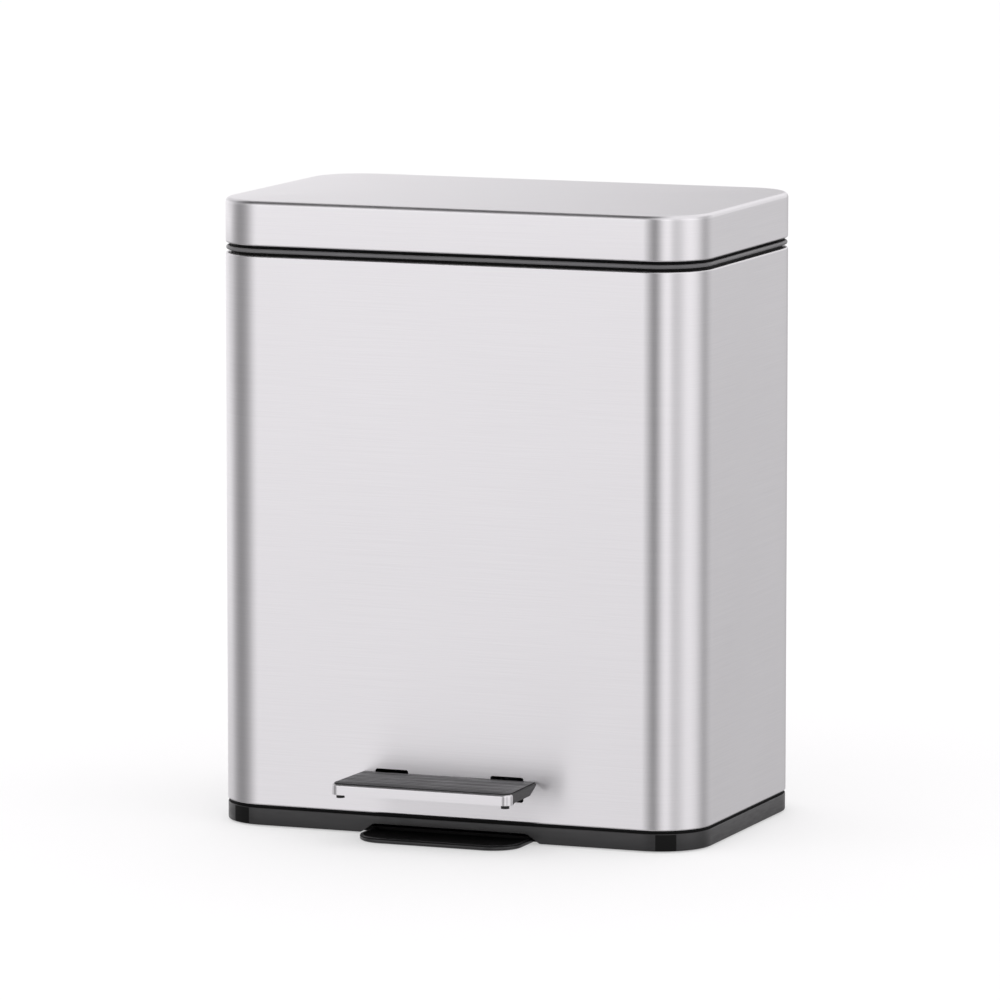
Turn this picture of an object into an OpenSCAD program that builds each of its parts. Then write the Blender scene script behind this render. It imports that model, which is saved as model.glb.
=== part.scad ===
// Rectangular pedal trash can: a steel shell on a plastic base, a bucket
// hung in a rim collar, and a hinged lid raised from a front pedal through
// a lever and a lift rod. Front faces -Y, up is +Z, millimetres.

/* [Overall] */
// Width of the steel body
body_w = 410; // [330:1:520]
// Front-to-back depth of the steel body
body_d = 254; // [225:1:320]
// Height of the closed can above the floor
total_h = 503; // [400:1:700]
// Radius of the vertical corners
corner_r = 43; // [30:1:60]
// Thickness of the steel sheet
sheet_t = 0.8; // [0.5:0.1:1.5]
// Height of the visible plastic base
base_h = 16.6; // [14:0.2:30]
// Height of the plastic rim band between body and lid
band_h = 8; // [7:0.5:12]
// Height of the dark groove above and below the bead of the rim band
bead_gap = 2.3; // [1:0.1:2.6]

/* [Lid] */
// Height of the lid from its lower edge to its top
lid_h = 37.5; // [30:0.5:50]
// Bend radius round the top edge of the lid
lid_edge_r = 4; // [2:0.5:8]
// Angle the lid opens through, in degrees
lid_open = 80; // [60:1:84]
// Sideways position of each lid hinge
hinge_x = 120; // [80:1:160]
// Diameter of the hinge pins
hinge_pin_d = 4; // [3:0.5:5]
// Radius of the crank that the lift rod pushes on
crank_r = 34; // [28:0.5:36]

/* [Pedal] */
// Width of the pedal at its front edge
pedal_w = 152; // [135:1:190]
// How far the pedal stands out in front of the body
pedal_out = 63.5; // [50:0.5:80]
// Height of the pedal tread above the floor
pedal_top = 50.7; // [48:0.1:60]
// Depth of the folded front flange of the pedal
flange_h = 8.4; // [7:0.2:12]
// Diameter of the pedal axle
axle_d = 8; // [6:0.5:10]
// How far behind the front face the pedal axle sits
axle_in = 42; // [40:1:60]
// Sideways position of each lever arm
arm_x = 49; // [40:1:54]
// Width of each lever arm
arm_w = 20; // [16:1:24]

/* [Bucket] */
// Height of the bucket floor above the ground
bucket_floor_z = 66; // [65:1:120]
// Wall thickness of the bucket
bucket_t = 2.2; // [1.5:0.1:4]
// Inward lean of the bucket walls over their height
bucket_taper = 7; // [3:0.5:12]

/* [Clearances] */
// Radial clearance of a pin turning in its bore
run_gap = 0.06; // [0.02:0.01:0.1]
// Radial clearance between the damper rod and its gland
slide_gap = 0.08; // [0.04:0.01:0.1]

/* [Hidden] */
$fn = 64;

// levels
lid_z = total_h - lid_h;              // lower edge of the lid
steel_top = lid_z - band_h;           // top of the steel shell
steel_bot = base_h + 0.6;             // bottom of the steel shell
ground_gap = 1;                       // base underside above the floor
floor_top = 3.5;                      // top of the base floor plate
spigot_top = steel_bot + 17;          // top of the wall that enters the shell
yf = -body_d / 2;                     // front face
yb = body_d / 2;                      // back face
shell_flange = 8;                     // width of the inward top flange
foot_flange = 5;                      // width of the inward bottom flange

// lid hinge
knuckle_r = hinge_pin_d / 2 + 3;
hinge_y = yb + knuckle_r + 1;
hinge_z = lid_z - band_h / 2;
hinge_out = 2 * knuckle_r + 1;
leaf_t = 2;
leaf_w = 40;
leaf_mid = 19.2;                      // length of the middle knuckle
leaf_gap = 0.4;                       // end play between knuckles
screw_d = 4;
screw_dx = 13;
body_screw_z = steel_top - 21;
lid_screw_z = lid_z + 20.5;

// feet, shell screws and rivets
pad_x = body_w / 2 - 48;
pad_y = yb - 40;
pad_r = 11;
pad_h = 3;
base_screw_x = body_w / 2 - 60;
base_screw_y = yb - 4;
base_screw_d = 3;
rivet_d = 4;
rivet_head_d = 7;
rivet_head_h = 0.6;
RIVET_Y = [yf - 14, yf - 34];

// origin: centre of the overall outline, on the floor
front_reach = body_d / 2 + pedal_out;
back_reach = body_d / 2 + hinge_out;
y0 = (front_reach - back_reach) / 2;

// linkage, in the plane x = 0
axle_y = yf + axle_in;
axle_z = 36;
foot_z = 14.5;
crank_a0 = lid_open / 2;
crank_y = hinge_y - crank_r * cos(crank_a0);
crank_z = hinge_z - crank_r * sin(crank_a0);
rod_len = crank_z - foot_z;
lift = 2 * crank_r * sin(lid_open / 2);
arm_reach = sqrt(pow(crank_y - axle_y, 2) + pow(foot_z - axle_z, 2));
pedal_angle = 2 * asin(lift / 2 / arm_reach);
// half-way position of the foot pin, seen from the lever
mid_dy = hinge_y - crank_r - axle_y;
mid_dz = foot_z + lift / 2 - axle_z;
slot_in = axle_y + mid_dy * cos(pedal_angle / 2) + mid_dz * sin(pedal_angle / 2);
slot_mid_z = axle_z - mid_dy * sin(pedal_angle / 2) + mid_dz * cos(pedal_angle / 2);
link_pin_d = 5;
slot_y1 = slot_in - 0.8;
slot_y2 = crank_y + 0.8;
slot_z = (slot_mid_z + foot_z) / 2;
slot_r = link_pin_d / 2 + 2;          // free height for the rocking rod
lug_t = 3;
lug_in = 4;                           // inner face of each lug from x = 0
lug_r = 7.7;                          // half height of the crossbar's lugs
lug_back = slot_y2 + lug_r;
eye_w = 6;
eye_r = 6;

// damper
damper_r = 11;
damper_x = arm_x;
damper_rod_d = 6;
damper_y = axle_y + arm_reach * cos(pedal_angle / 2) - 0.6;
damper_z0 = foot_z + lift + 18;
damper_len = 92;
damper_slot_r = link_pin_d / 2 + 0.9;

// lever
arm_t = 1.5;
arm_half = 8;                         // half height of the arms behind the axle
arm_front = yf - pedal_out + 7;
arm_back = slot_y2 + 5.5;
bush_r = axle_d / 2 + 2;
post_x = 100;
post_w = 10;

// toe tongue and the mouth above it
tongue_w = 136;
tongue_out = 40;                      // reach in front of the body
tongue_r = 24;
tongue_z = 0.5;
tongue_h = 4;
tongue_lip = 4;
mouth_w = 160;
mouth_h = 8.7;
mouth_deep = 7;

// pedal plate
plate_t = 1.2;
pad_t = 0.9;                          // thickness of the tread
plate_top = pedal_top - pad_t;
plate_under = plate_top - plate_t;
plate_rear = yf - 1.2;
plate_front = yf - pedal_out;
plate_rear_w = pedal_w - 3;
pedal_r = 7;

// where the arms pass the front wall they are shallow, and the slots end
// just below their lowest position
arm_neck = 4.6;
neck_z = plate_under - arm_neck;
neck_low = axle_z + (neck_z - axle_z) * cos(pedal_angle) - axle_in * sin(pedal_angle);
front_slot_w = arm_w + 8;
front_slot_z1 = pedal_top + 2.6;
front_slot_z0 = neck_low - 1.2;
slot_corner_r = 2;

// rim collar and bucket
neck_in = 4.4;                        // recessed neck above and below the bead
bead_r = band_h / 2 - bead_gap;       // half height of the bead
collar_wall = 7;                      // inner face of the collar wall
ledge_z = steel_top + 2.5;
well_y1 = crank_y + 8.5;              // back of the lift rod well
well_y0 = hinge_y - crank_r - 8.5;    // front of the lift rod well
win_y0 = yf + 14;
win_y1 = well_y0 - 8;
win_w = body_w - 38;
win_d = win_y1 - win_y0;
win_yc = (win_y0 + win_y1) / 2;
win_r = corner_r - 10;
bucket_w = win_w - 6;
bucket_d = win_d - 6;
bucket_r = win_r - 3;
bucket_rim = 6;
bucket_top = ledge_z + 2.5;

module at0() translate([0, y0, 0]) children();

// rounded rectangle
module rr(w, d, r) {
  square([w - 2 * r, d], center = true);
  square([w, d - 2 * r], center = true);
  for (x = [-1, 1], y = [-1, 1])
    translate([x * (w / 2 - r), y * (d / 2 - r)]) circle(r = r);
}

// body outline moved inward by i
module outline(i) rr(body_w - 2 * i, body_d - 2 * i, corner_r - i);

// closed wall between two insets
module wall(i1, i2, z0, z1) {
  translate([0, 0, z0]) linear_extrude(z1 - z0) difference() {
    outline(i1);
    outline(i2);
  }
}

// side view of a slab with rounded upper corners
module slab_side(w, h, e) {
  translate([-w / 2, 0]) square([w, h - e]);
  translate([-w / 2 + e, 0]) square([w - 2 * e, h]);
  for (x = [-1, 1]) translate([x * (w / 2 - e), h - e]) circle(r = e);
}

// block on the body outline with a rounded top edge
module soft_block(i, z0, z1, e) {
  w = body_w - 2 * i;
  d = body_d - 2 * i;
  r = corner_r - i;
  h = z1 - z0;
  translate([0, 0, z0]) {
    translate([0, (d - 2 * r) / 2, 0]) rotate([90, 0, 0])
      linear_extrude(d - 2 * r) slab_side(w, h, e);
    translate([-(w - 2 * r) / 2, 0, 0]) rotate([90, 0, 90])
      linear_extrude(w - 2 * r) slab_side(d, h, e);
    for (x = [-1, 1], y = [-1, 1])
      translate([x * (w / 2 - r), y * (d / 2 - r), 0]) rotate_extrude()
        intersection() {
          slab_side(2 * r, h, e);
          square([r, h]);
        }
  }
}

// slab on the body outline with a half-round edge all the way round
module round_slab(i, z, r) {
  w = body_w - 2 * i;
  d = body_d - 2 * i;
  c = corner_r - i;
  translate([0, 0, z]) {
    translate([0, (d - 2 * c) / 2, 0]) rotate([90, 0, 0])
      linear_extrude(d - 2 * c) pill(w, r);
    translate([-(w - 2 * c) / 2, 0, 0]) rotate([90, 0, 90])
      linear_extrude(w - 2 * c) pill(d, r);
    for (x = [-1, 1], y = [-1, 1])
      translate([x * (w / 2 - c), y * (d / 2 - c), 0]) rotate_extrude()
        intersection() {
          pill(2 * c, r);
          translate([0, -r]) square([c, 2 * r]);
        }
  }
}

// bar with round ends, seen from the side
module pill(w, r) {
  translate([-w / 2 + r, -r]) square([w - 2 * r, 2 * r]);
  for (x = [-1, 1]) translate([x * (w / 2 - r), 0]) circle(r = r, $fn = 48);
}

// bar along X centred on x
module xbar(x, y, z, r, len, fn = 48) {
  translate([x, y, z]) rotate([0, 90, 0])
    cylinder(r = r, h = len, center = true, $fn = fn);
}

// plate standing across X, drawn in the YZ plane
module xplate(x, t) {
  translate([x - t / 2, 0, 0]) rotate([90, 0, 90]) linear_extrude(t) children();
}

module outer_body() {
  color("silver") at0() difference() {
    union() {
      wall(0, sheet_t, steel_bot, steel_top);
      wall(sheet_t / 2, shell_flange, steel_top - sheet_t, steel_top);
      wall(sheet_t / 2, foot_flange, steel_bot, steel_bot + sheet_t);
    }
    for (s = [-1, 1]) {
      translate([s * arm_x, yf, 0]) rotate([90, 0, 0]) linear_extrude(8, center = true) {
        translate([0, (front_slot_z0 + front_slot_z1) / 2])
          rr(front_slot_w, front_slot_z1 - front_slot_z0, slot_corner_r);
      }
      for (q = [-1, 1])
        translate([s * hinge_x + q * screw_dx, yb, body_screw_z]) rotate([90, 0, 0])
          cylinder(d = screw_d, h = 6, center = true, $fn = 32);
      for (q = [-1, 1])
        translate([s * base_screw_x, q * base_screw_y, steel_bot])
          cylinder(d = base_screw_d, h = 6, center = true, $fn = 24);
    }
  }
}

module rim_collar() {
  color("dimgray") at0() difference() {
    union() {
      translate([0, 0, steel_top]) linear_extrude(band_h - 0.5) outline(neck_in);
      round_slab(0.4, lid_z - band_h / 2, bead_r);
      wall(shell_flange + 0.4, shell_flange + 2.6, steel_top - 15, ledge_z);
    }
    translate([0, 0, ledge_z]) linear_extrude(20) outline(collar_wall);
    translate([0, win_yc, steel_top - 20]) linear_extrude(40) rr(win_w, win_d, win_r);
    translate([-17, well_y0, steel_top - 20]) cube([34, well_y1 - well_y0, 40]);
  }
}

module base() {
  color([0.16, 0.16, 0.17]) at0() {
    difference() {
      union() {
        wall(0.3, 8.7, ground_gap, base_h);
        wall(1.6, 8.7, base_h - 2, steel_bot);
        wall(foot_flange + 1.2, 8.7, base_h - 2, spigot_top);
        translate([0, 0, ground_gap]) linear_extrude(floor_top - ground_gap) outline(4);
        for (x = [-1, 1], y = [-1, 1])
          translate([x * pad_x, y * pad_y, ground_gap]) cylinder(r = pad_r + 4, h = 5);
        for (s = [-1, 1])
          translate([s * post_x - post_w / 2, axle_y - 10, floor_top - 0.5])
            cube([post_w, 20, axle_z + 7 - floor_top]);
        // raised ribs that stiffen the floor plate
        for (s = [-1, 1]) {
          translate([s * post_x - 1.25, axle_y + 9, floor_top - 0.5])
            cube([2.5, yb - 12 - axle_y - 9, 10]);
          translate([s * (body_w / 2 - 40) - 1.25, -70, floor_top - 0.5])
            cube([2.5, 140, 8]);
        }
      }
      for (x = [-1, 1], y = [-1, 1])
        translate([x * pad_x, y * pad_y, 0]) cylinder(r = pad_r, h = pad_h);
      // mouth above the toe tongue, wider at the floor
      translate([0, yf + mouth_deep, 0]) rotate([90, 0, 0]) linear_extrude(mouth_deep + 2)
        polygon([
          [-mouth_w / 2, 0], [mouth_w / 2, 0],
          [mouth_w / 2 - 16, mouth_h], [-mouth_w / 2 + 16, mouth_h]
        ]);
      // room for the lever's lugs where they come near the back wall
      translate([-lug_in - lug_t - 2, axle_y + 20, floor_top])
        cube([2 * (lug_in + lug_t + 2), lug_back + 1 - axle_y - 20, spigot_top]);
      // clearance for the lever arms
      for (s = [-1, 1])
        translate([s * arm_x - front_slot_w / 2 - 2, yf - 1, front_slot_z0 - 1])
          cube([front_slot_w + 4, 14, 30]);
      xbar(0, axle_y, axle_z, axle_d / 2, 2 * post_x + 40);
      // holes for the screws that hold the shell
      for (x = [-1, 1], y = [-1, 1])
        translate([x * base_screw_x, y * base_screw_y, -1]) {
          cylinder(d = base_screw_d, h = 30, $fn = 24);
          cylinder(d = 2 * base_screw_d + 0.4, h = 9, $fn = 32);
        }
    }
    // toe tongue in front of the body, with a dished top
    difference() {
      translate([0, yf, tongue_z]) linear_extrude(tongue_h) toe(0);
      translate([0, yf, tongue_z + tongue_h - 1.5]) linear_extrude(4) intersection() {
        toe(tongue_lip);
        translate([-tongue_w, -tongue_w]) square([2 * tongue_w, tongue_w + 2]);
      }
    }
  }
}

// plan of the toe tongue, measured from the front face
module toe(i) {
  r = tongue_r - i;
  xc = tongue_w / 2 - tongue_r;
  yc = tongue_r - tongue_out;
  translate([-xc - r, yc]) square([2 * (xc + r), 10 - yc]);
  for (x = [-1, 1]) translate([x * xc, yc]) circle(r = r);
  translate([-xc, yc - r]) square([2 * xc, r + 1]);
}

module foot_pads() {
  color([0.08, 0.08, 0.08]) at0()
    for (x = [-1, 1], y = [-1, 1])
      translate([x * pad_x, y * pad_y, 0]) cylinder(r = pad_r - 0.2, h = pad_h);
}

module base_screws() {
  color("gray") at0()
    for (x = [-1, 1], y = [-1, 1])
      translate([x * base_screw_x, y * base_screw_y, 5.8]) {
        cylinder(d = 2 * base_screw_d, h = 2.2, $fn = 32);
        cylinder(d = base_screw_d, h = steel_bot + 3 - 5.8, $fn = 24);
      }
}

// solid bucket shape, shrunk by t and reaching down to z
module bucket_solid(t, z) {
  hull() {
    translate([0, win_yc, bucket_top - 0.01]) linear_extrude(0.01)
      rr(bucket_w - 2 * t, bucket_d - 2 * t, bucket_r - t);
    translate([0, win_yc, z]) linear_extrude(0.01)
      rr(bucket_w - 2 * bucket_taper - 2 * t, bucket_d - 2 * bucket_taper - 2 * t,
         bucket_r - bucket_taper / 2 - t);
  }
}

module inner_bucket() {
  color([0.3, 0.31, 0.33]) at0() difference() {
    union() {
      bucket_solid(0, bucket_floor_z);
      translate([0, win_yc, ledge_z]) linear_extrude(bucket_top - ledge_z)
        rr(bucket_w + 2 * bucket_rim, bucket_d + 2 * bucket_rim, bucket_r + bucket_rim);
    }
    bucket_solid(bucket_t, bucket_floor_z + bucket_t);
    translate([0, win_yc, bucket_top - 0.5]) linear_extrude(2)
      rr(bucket_w - 2 * bucket_t, bucket_d - 2 * bucket_t, bucket_r - bucket_t);
    for (s = [-1, 1])
      xbar(s * bucket_w / 2, win_yc, bucket_top - 12, 2, 20, 32);
  }
}

// wire bail folded forward inside the bucket mouth
module bucket_handle() {
  hx = bucket_w / 2 - bucket_t - 3.5;
  hz = bucket_top - 12;
  reach = bucket_d / 2 - bucket_t - 12;
  br = 14;
  color("gainsboro") at0() translate([0, win_yc, hz]) {
    for (s = [-1, 1]) {
      translate([s * (hx + 2.5), 0, 0]) rotate([0, 90, 0])
        cylinder(r = 1.9, h = 9, center = true, $fn = 32);
      translate([s * hx, 0, 0]) sphere(r = 1.9, $fn = 32);
      translate([s * hx, -(reach - br) / 2, 0]) rotate([90, 0, 0])
        cylinder(r = 1.9, h = reach - br, center = true, $fn = 32);
      translate([s * (hx - br), -(reach - br), 0])
        rotate([0, 0, s > 0 ? -90 : 180])
          rotate_extrude(angle = 90) translate([br, 0]) circle(r = 1.9, $fn = 32);
    }
    translate([0, -reach, 0]) rotate([0, 90, 0])
      cylinder(r = 1.9, h = 2 * (hx - br), center = true, $fn = 32);
  }
}

// moulded grip on the middle of the bail
module handle_grip() {
  reach = bucket_d / 2 - bucket_t - 12;
  color("dimgray") at0() difference() {
    xbar(0, win_yc - reach, bucket_top - 12, 5, 90);
    xbar(0, win_yc - reach, bucket_top - 12, 1.9, 100, 32);
  }
}

module lid_bumpers() {
  color([0.08, 0.08, 0.08]) at0()
    for (x = [-1, 1], y = [-0.28, 0.28])
      translate([x * (body_w / 2 - 10.6), y * body_d, ledge_z])
        cylinder(r = 3, h = lid_z + 0.4 - ledge_z, $fn = 32);
}

module leaf_holes(s, z) {
  for (q = [-1, 1])
    translate([s * hinge_x + q * screw_dx, yb, z]) rotate([90, 0, 0])
      cylinder(d = screw_d, h = 20, center = true, $fn = 32);
}

module hinge_leaf_body(s) {
  k = (leaf_w - leaf_mid - 2 * leaf_gap) / 2;
  color("gray") at0() difference() {
    union() {
      translate([s * hinge_x - leaf_w / 2, yb, steel_top - 32])
        cube([leaf_w, leaf_t, 30]);
      for (q = [-1, 1]) {
        xbar(s * hinge_x + q * (leaf_w - k) / 2, hinge_y, hinge_z, knuckle_r, k);
        xplate(s * hinge_x + q * (leaf_w - k) / 2, k) polygon([
          [yb, steel_top - 8], [yb + leaf_t, steel_top - 8],
          [hinge_y + knuckle_r - 0.8, hinge_z - 2.4], [hinge_y, hinge_z],
          [hinge_y - knuckle_r + 0.2, hinge_z], [yb, steel_top]
        ]);
      }
    }
    xbar(s * hinge_x, hinge_y, hinge_z, hinge_pin_d / 2, leaf_w + 4);
    leaf_holes(s, body_screw_z);
  }
}

module hinge_leaf_lid(s) {
  color("gray") at0() difference() {
    union() {
      translate([s * hinge_x - leaf_w / 2, yb, lid_z + 7])
        cube([leaf_w, leaf_t, 24]);
      xbar(s * hinge_x, hinge_y, hinge_z, knuckle_r, leaf_mid);
      xplate(s * hinge_x, leaf_mid) polygon([
        [yb, lid_z + 9], [yb + leaf_t, lid_z + 9],
        [hinge_y + knuckle_r - 0.8, hinge_z + 2.4], [hinge_y, hinge_z],
        [hinge_y - knuckle_r + 0.4, hinge_z + 1.4], [yb, lid_z + 3]
      ]);
    }
    xbar(s * hinge_x, hinge_y, hinge_z, hinge_pin_d / 2 + run_gap, leaf_w);
    leaf_holes(s, lid_screw_z);
  }
}

module hinge_leaf_body_left() hinge_leaf_body(-1);
module hinge_leaf_body_right() hinge_leaf_body(1);
module hinge_leaf_lid_left() hinge_leaf_lid(-1);
module hinge_leaf_lid_right() hinge_leaf_lid(1);

module hinge_pin(s) {
  color("silver") at0() xbar(s * hinge_x, hinge_y, hinge_z, hinge_pin_d / 2, leaf_w + 2);
}

module hinge_pin_left() hinge_pin(-1);
module hinge_pin_right() hinge_pin(1);

// pan-head screw entering towards the front
module back_screw(x, z, len) {
  translate([x, yb + leaf_t, z]) rotate([90, 0, 0]) {
    cylinder(d = screw_d, h = len, $fn = 32);
    translate([0, 0, -2]) difference() {
      cylinder(d = screw_d * 1.9, h = 2, $fn = 32);
      for (a = [0, 90]) rotate([0, 0, a])
        translate([-2.2, -0.5, -0.1]) cube([4.4, 1, 1.1]);
    }
  }
}

module body_hinge_screws() {
  color("silver") at0()
    for (s = [-1, 1], q = [-1, 1])
      back_screw(s * hinge_x + q * screw_dx, body_screw_z, leaf_t + sheet_t + 4);
}

module lid_hinge_screws() {
  color("silver") at0()
    for (s = [-1, 1], q = [-1, 1])
      back_screw(s * hinge_x + q * screw_dx, lid_screw_z, leaf_t + sheet_t + 4);
}

module body_hinge_nuts() {
  color("gray") at0()
    for (s = [-1, 1], q = [-1, 1])
      translate([s * hinge_x + q * screw_dx, yb - sheet_t, body_screw_z])
        rotate([90, 0, 0]) difference() {
          cylinder(r = 4, h = 3.2, $fn = 6);
          translate([0, 0, -1]) cylinder(d = screw_d, h = 6, $fn = 32);
        }
}

module axle() {
  color("silver") at0() xbar(0, axle_y, axle_z, axle_d / 2, 2 * post_x + 18);
}

module axle_clips() {
  color("gray") at0()
    for (s = [-1, 1]) difference() {
      xbar(s * (post_x + post_w / 2 + 0.6), axle_y, axle_z, axle_d / 2 + 3, 1.2);
      xbar(s * (post_x + post_w / 2 + 0.6), axle_y, axle_z, axle_d / 2, 3);
      translate([s * (post_x + post_w / 2 + 0.6) - 2, axle_y - 1.5, axle_z - 12])
        cube([4, 3, 10]);
    }
}

module damper_cylinder() {
  color([0.2, 0.2, 0.22]) at0() translate([damper_x, damper_y, damper_z0]) difference() {
    cylinder(r = damper_r, h = damper_len);
    translate([0, 0, 6]) cylinder(r = damper_r - 1.8, h = damper_len - 12);
    translate([0, 0, -1]) cylinder(r = damper_rod_d / 2 + slide_gap, h = 10, $fn = 48);
  }
}

module damper_bracket() {
  color("gray") at0() difference() {
    union() {
      for (z = [10, damper_len - 22]) {
        translate([damper_x, damper_y, damper_z0 + z])
          cylinder(r = damper_r + 2, h = 12);
        translate([damper_x - 8, damper_y, damper_z0 + z])
          cube([16, yb - sheet_t - damper_y, 12]);
      }
      translate([damper_x - 14, yb - sheet_t - 1.5, damper_z0 + 4])
        cube([28, 1.5, damper_len - 8]);
    }
    translate([damper_x, damper_y, damper_z0 - 1])
      cylinder(r = damper_r, h = damper_len + 2);
  }
}

module lid_skin() {
  color("silver") at0() difference() {
    union() {
      difference() {
        soft_block(0, lid_z, total_h, lid_edge_r);
        soft_block(sheet_t, lid_z - 5, total_h - sheet_t, lid_edge_r - sheet_t);
      }
      wall(sheet_t / 2, 4.8, lid_z, lid_z + sheet_t);
    }
    leaf_holes(-1, lid_screw_z);
    leaf_holes(1, lid_screw_z);
  }
}

module lid_liner() {
  color("dimgray") at0() difference() {
    union() {
      translate([0, 0, lid_z + sheet_t]) linear_extrude(2.5) outline(sheet_t + 0.4);
      wall(sheet_t + 0.4, sheet_t + 2.9, lid_z + sheet_t, total_h - lid_edge_r - 1.5);
      for (s = [-1, 1])
        xplate(s * (lug_in + lug_t / 2), lug_t) {
          polygon([
            [crank_y - 9, lid_z + sheet_t + 1], [crank_y + 6.5, lid_z + sheet_t + 1],
            [crank_y + 5.9, crank_z + 1], [crank_y, crank_z], [crank_y - 5.9, crank_z + 1]
          ]);
          translate([crank_y, crank_z]) circle(r = 6);
        }
      // stiffening rib between the two lugs and along the plate
      translate([-150, crank_y - 8, lid_z + sheet_t + 2]) cube([300, 2.5, 12]);
      translate([-150, -60, lid_z + sheet_t + 2]) cube([300, 2.5, 12]);
    }
    xbar(0, crank_y, crank_z, link_pin_d / 2, 40);
    leaf_holes(-1, lid_screw_z);
    leaf_holes(1, lid_screw_z);
  }
}

module crank_pin() {
  color("silver") at0() {
    xbar(0, crank_y, crank_z, link_pin_d / 2, 2 * (lug_in + lug_t) + 2);
    xbar(lug_in + lug_t + 1, crank_y, crank_z, link_pin_d / 2 + 1.4, 1.6);
  }
}

// plan of the pedal, moved inward by i
module pedal_plan(i) {
  fw = pedal_w / 2 - i;
  rw = plate_rear_w / 2 - i;
  r = pedal_r - i;
  yc = plate_front + pedal_r;
  lean = (fw - rw) / (plate_rear - yc);
  difference() {
    union() {
      translate([-fw, yc]) square([2 * fw, plate_rear - yc]);
      translate([-(fw - r), yc - r]) square([2 * (fw - r), plate_rear - yc + r]);
      for (x = [-1, 1]) translate([x * (fw - r), yc]) circle(r = r);
    }
    // the sides close in slightly towards the body
    for (x = [-1, 1]) polygon([
      [x * fw, yc], [x * (fw + 5), yc], [x * (fw + 5), plate_rear + 1],
      [x * (rw - lean), plate_rear + 1]
    ]);
  }
}

module pedal_plate() {
  color("silver") at0() difference() {
    translate([0, 0, plate_top - flange_h]) linear_extrude(flange_h) pedal_plan(0);
    translate([0, 0, plate_top - flange_h - 1]) linear_extrude(flange_h + 1 - plate_t)
      pedal_plan(plate_t);
    translate([-pedal_w / 2 + plate_t, plate_rear - 3, plate_top - flange_h - 1])
      cube([pedal_w - 2 * plate_t, 6, flange_h + 1 - plate_t]);
    // side flanges: slightly shallower than the front, cut away at the rear
    xplate(0, pedal_w + 10) polygon([
      [plate_front + pedal_r, plate_top - flange_h],
      [plate_front + pedal_r + 4, plate_top - flange_h + 1],
      [plate_rear - 15, plate_top - flange_h + 1],
      [plate_rear - 0.5, plate_under], [plate_rear + 5, plate_under],
      [plate_rear + 5, plate_top - 20], [plate_front + pedal_r, plate_top - 20]
    ]);
    rivet_holes(rivet_d, 10, plate_top);
  }
}

// holes for the rivets of both arms, centred on height z
module rivet_holes(d, h, z) {
  for (s = [-1, 1], y = RIVET_Y)
    translate([s * arm_x, y, z]) cylinder(d = d, h = h, center = true, $fn = 32);
}

// rubber buffers below the front corners of the pedal
module pedal_buffers() {
  color([0.08, 0.08, 0.08]) at0()
    for (x = [-1, 1])
      translate([x * (pedal_w / 2 - 6.4), plate_front + 7, plate_top - flange_h - 3])
        cylinder(r = 3.3, h = flange_h + 3 - plate_t, $fn = 32);
}

module pedal_pad() {
  color([0.22, 0.22, 0.23]) at0() difference() {
    translate([0, 0, plate_top]) linear_extrude(pad_t) pedal_plan(1.6);
    for (k = [1:9])
      translate([-pedal_w / 2 + 8, plate_front + k * 6, pedal_top - 0.4])
        cube([pedal_w - 16, 1.6, 2]);
    rivet_holes(rivet_head_d + 0.4, 2 * rivet_head_h + 0.1, plate_top);
  }
}

module lever_arm(s) {
  ft = plate_under;
  color("slategray") at0() difference() {
    xplate(s * arm_x, arm_w) polygon([
      [arm_front, ft], [arm_front, neck_z], [yf + 9, neck_z],
      [axle_y, axle_z - arm_half], [slot_y1 - 6, slot_z - arm_half + 0.6],
      [arm_back, slot_z - arm_half + 0.6], [arm_back, slot_z + arm_half],
      [slot_y1 - 6, slot_z + arm_half], [axle_y, axle_z + arm_half], [yf + 9, ft]
    ]);
    xplate(s * arm_x, arm_w - 2 * arm_t) polygon([
      [arm_front - 5, ft - arm_t], [arm_front - 5, -5], [arm_back + 5, -5],
      [arm_back + 5, slot_z + arm_half - arm_t],
      [slot_y1 - 6, slot_z + arm_half - arm_t],
      [axle_y, axle_z + arm_half - arm_t], [yf + 9, ft - arm_t]
    ]);
    xbar(s * arm_x, axle_y, axle_z, bush_r, arm_w + 4);
    // slot for the damper foot and relief for its rod, on the right arm only
    if (s > 0) {
      for (q = [-1.4, 1.4])
        xbar(arm_x, damper_y + q, foot_z, damper_slot_r, arm_w + 4);
      translate([arm_x - arm_w / 2 - 2, damper_y - 1.4, foot_z - damper_slot_r])
        cube([arm_w + 4, 2.8, 2 * damper_slot_r]);
      translate([arm_x - 5, damper_y - 6, slot_z]) cube([10, 40, 20]);
    }
    rivet_holes(rivet_d, 10, ft);
  }
}

module lever_arm_left() lever_arm(-1);
module lever_arm_right() lever_arm(1);

module lever_crossbar() {
  bw = 2 * (arm_x - arm_w / 2);
  color("slategray") at0() difference() {
    union() {
      translate([-bw / 2, slot_y1 - 20, slot_z - 5]) cube([bw, 10, 12]);
      for (s = [-1, 1])
        xplate(s * (lug_in + lug_t / 2), lug_t) {
          translate([slot_y1 - 14, slot_z + 0.3 - lug_r]) square([slot_y2 - slot_y1 + 14, 2 * lug_r]);
          translate([slot_y2, slot_z + 0.3]) circle(r = lug_r);
        }
    }
    translate([-bw / 2 - 1, slot_y1 - 18.5, slot_z - 3.5]) cube([bw + 2, 7, 9]);
    for (s = [-1, 1])
      xplate(s * (lug_in + lug_t / 2), lug_t + 2) {
        translate([slot_y1, slot_z - slot_r]) square([slot_y2 - slot_y1, 2 * slot_r]);
        for (y = [slot_y1, slot_y2]) translate([y, slot_z]) circle(r = slot_r, $fn = 48);
      }
  }
}

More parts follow.
